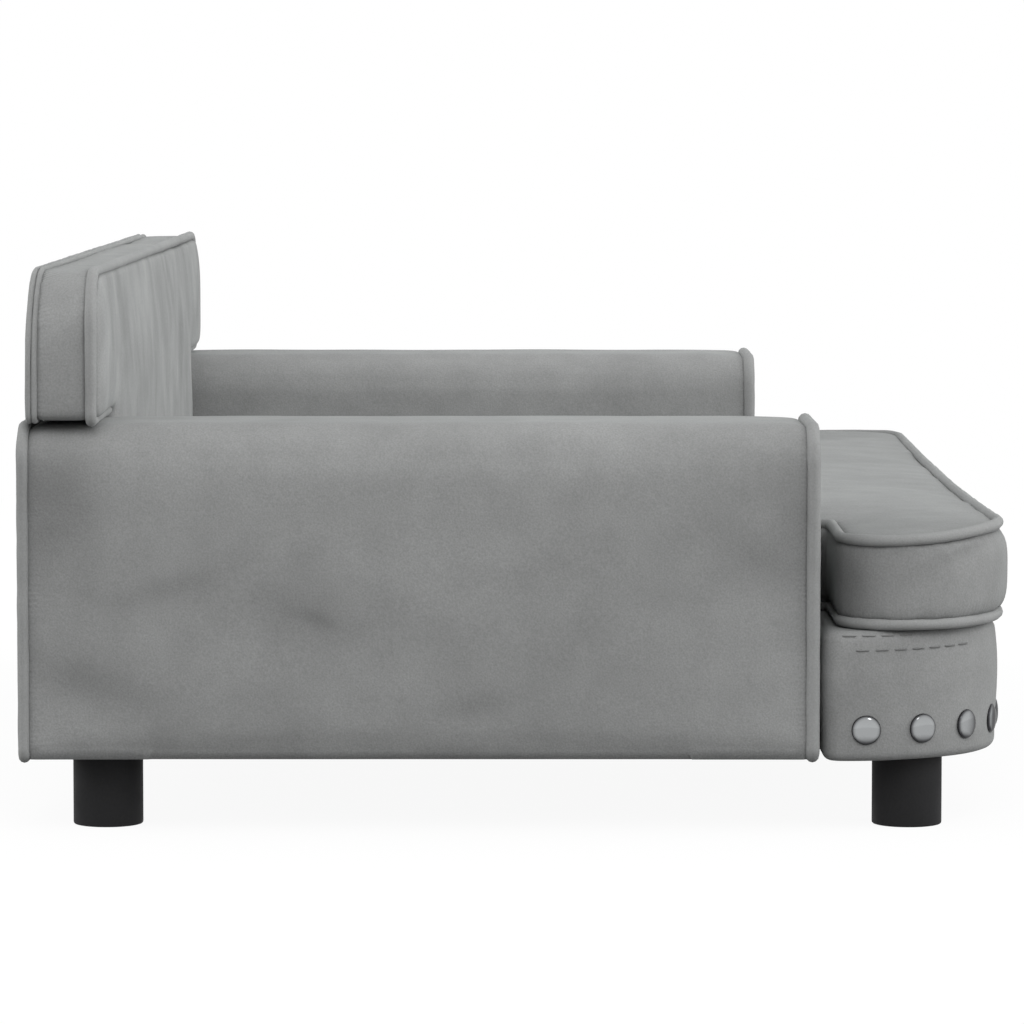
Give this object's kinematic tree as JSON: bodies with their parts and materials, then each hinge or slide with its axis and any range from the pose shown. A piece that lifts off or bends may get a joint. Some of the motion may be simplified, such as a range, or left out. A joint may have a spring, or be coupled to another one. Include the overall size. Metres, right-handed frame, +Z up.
{
  "type": "dog sofa bed",
  "caption": "Low upholstered sofa bed for a dog, with box arms, a padded back, a nailed apron, round legs and a loose T-shaped cushion that lifts out.",
  "frame": {"origin": "on the floor at the middle of the footprint", "axes": "+Z up, the front faces -Y, +X runs along the width from the left arm to the right arm as seen from the front"},
  "size_m": [0.9, 0.538, 0.303],
  "materials": {
    "velvet": "short grey velvet pile",
    "velvet_trim": "grey velvet over a cord",
    "foam": "open-cell foam and wadding",
    "dust_cloth": "black non-woven cloth",
    "zip_tape": "woven zip tape with a plastic coil",
    "rail_wood": "sawn pine",
    "fibreboard": "pressed board",
    "leg_plastic": "satin black plastic",
    "nail_chrome": "polished dome",
    "bolt_steel": "zinc-plated",
    "zip_metal": "plated zip slider"
  },
  "bodies": {
    "frame": {"base_board": "fibreboard", "deck_board": "fibreboard", "front_rail": "rail_wood", "rear_rail": "rail_wood", "side_rails": "rail_wood", "cross_ribs": "rail_wood", "ear_blocks": "rail_wood", "apron_backing": "fibreboard", "apron_padding": "foam", "apron_cover": "velvet", "apron_nails": "nail_chrome", "deck_cloth": "velvet", "dust_cover": "dust_cloth", "left_arm_outer_panel": "fibreboard", "left_arm_inner_panel": "fibreboard", "left_arm_top_board": "fibreboard", "left_arm_bottom_board": "fibreboard", "left_arm_end_boards": "fibreboard", "left_arm_padding": "foam", "left_arm_cover": "velvet", "left_arm_end_covers": "velvet", "left_arm_piping": "velvet_trim", "right_arm_outer_panel": "fibreboard", "right_arm_inner_panel": "fibreboard", "right_arm_top_board": "fibreboard", "right_arm_bottom_board": "fibreboard", "right_arm_end_boards": "fibreboard", "right_arm_padding": "foam", "right_arm_cover": "velvet", "right_arm_end_covers": "velvet", "right_arm_piping": "velvet_trim", "back_board": "fibreboard", "back_padding": "foam", "back_front_cover": "velvet", "back_boxing": "velvet", "back_rear_cover": "velvet", "back_front_piping": "velvet_trim", "back_rear_piping": "velvet_trim", "front_left_leg": "leg_plastic", "front_right_leg": "leg_plastic", "rear_left_leg": "leg_plastic", "rear_right_leg": "leg_plastic", "leg_bolts": "bolt_steel", "leg_tee_nuts": "bolt_steel", "arm_bolts": "bolt_steel", "arm_tee_nuts": "bolt_steel", "back_bolts": "bolt_steel"},
    "cushion": {"cushion_foam": "foam", "cushion_top_cover": "velvet", "cushion_boxing": "velvet", "cushion_bottom_cover": "velvet", "cushion_top_piping": "velvet_trim", "cushion_bottom_piping": "velvet_trim", "cushion_zip": "zip_tape"},
    "zip_slider": {"zip_slider": "zip_metal"}
  },
  "joints": [
    {"name": "cushion_lift", "type": "slide", "parent": "frame", "child": "cushion", "axis": [0, 0, 1], "range_m": [0, 0.2]},
    {"name": "zip_slide", "type": "slide", "parent": "cushion", "child": "zip_slider", "axis": [1, 0, 0], "range_m": [0, 0.444]}
  ]
}
